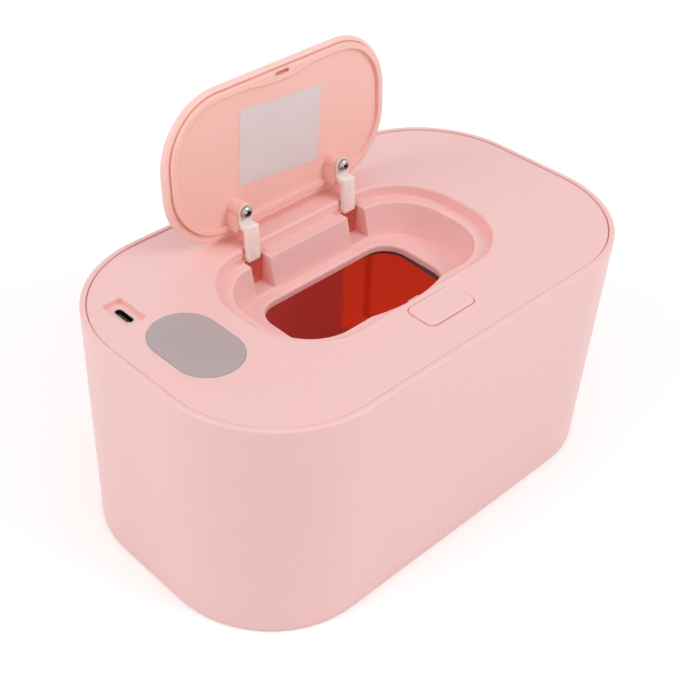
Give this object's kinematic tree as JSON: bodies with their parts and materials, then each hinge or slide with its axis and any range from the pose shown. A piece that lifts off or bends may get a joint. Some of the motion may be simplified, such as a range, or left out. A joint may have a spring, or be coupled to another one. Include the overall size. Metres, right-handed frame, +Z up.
{
  "type": "baby wipe warmer",
  "caption": "Rounded pink wipe warmer with a hinged dispensing lid over a deep well, push-button latch, lift-off electronics cover, heated red lining and a charging socket in the top.",
  "frame": {"origin": "centre of the footprint on the plane that the feet stand on", "axes": "+Z up, +X to the user's right seen from the button side, -Y towards the user (the button side), hinge behind"},
  "size_m": [0.2, 0.12, 0.1529],
  "materials": {
    "pink_body": "satin moulded plastic",
    "pink_liner": "satin moulded plastic",
    "foot_rubber": "matt",
    "foam": "closed-cell foam",
    "plate_metal": "satin sheet",
    "heater_red": "satin film",
    "flex_film": "polyimide film",
    "black_resin": "moulded resin",
    "ceramic": "glazed",
    "white_nylon": "moulded nylon",
    "grey_seal": "matt",
    "nickel_steel": "nickel plated",
    "dark_gasket": "matt foam rubber",
    "smoke_window": "glossy smoke",
    "display_white": "matt",
    "grey_foam": "conductive foam",
    "green_board": "solder mask",
    "contact_brass": "bright",
    "pin_steel": "ground",
    "spring_steel": "drawn wire",
    "sticker_grey": "silver-grey film"
  },
  "bodies": {
    "base": {"outer_shell": "pink_body", "rubber_feet": "foot_rubber", "insulation_floor": "foam", "insulation_wall": "foam", "heater_floor_pad": "plate_metal", "heater_jacket": "heater_red", "ntc_sensor": "black_resin", "thermal_fuse": "ceramic", "heater_tail": "flex_film", "tub_collar": "white_nylon", "seal_ring": "grey_seal", "contact_socket": "white_nylon", "socket_screws": "nickel_steel"},
    "cover": {"top_cover": "pink_body", "well_gasket": "dark_gasket", "cover_underplate": "white_nylon", "cover_screws": "nickel_steel", "display_window": "smoke_window", "display_module": "display_white", "touch_pad": "grey_foam", "control_pcb": "green_board", "pcb_parts": "black_resin", "usb_c_socket": "nickel_steel", "usb_tongue": "black_resin", "contact_blades": "contact_brass", "pcb_screws": "nickel_steel", "hinge_pins": "pin_steel", "hinge_springs": "spring_steel", "latch_tray": "white_nylon", "tray_screws": "nickel_steel", "button_spring": "spring_steel"},
    "lid": {"lid_cap": "pink_body", "lid_liner": "pink_liner", "hinge_arm_left": "white_nylon", "hinge_arm_right": "white_nylon", "lid_screws": "nickel_steel", "lid_sticker": "sticker_grey"},
    "button": {"release_button": "pink_body"},
    "latch": {"latch_slider": "white_nylon"}
  },
  "joints": [
    {"name": "cover_lift", "type": "slide", "parent": "base", "child": "cover", "axis": [0, 0, 1], "range_m": [0, 0.05]},
    {"name": "lid_hinge", "type": "hinge", "parent": "cover", "child": "lid", "pos_m": [0, 0.0353, 0.0887], "axis": [1, 0, 0], "range_deg": [0, 94.55], "stiffness_Nm_per_rad": 0.006, "springref_deg": -20.05},
    {"name": "button_press", "type": "slide", "parent": "cover", "child": "button", "axis": [0, 0, -1], "range_m": [0, 0.0016], "stiffness_N_per_m": 250, "springref_m": -0.001, "deforming": ["button_spring"]},
    {"name": "latch_slide", "type": "slide", "parent": "cover", "child": "latch", "axis": [0, 1, 0], "range_m": [0, 0.0005]}
  ],
  "couplings": [
    {"joint": "latch_slide", "follows": "button_press", "ratio": 0.3125}
  ]
}
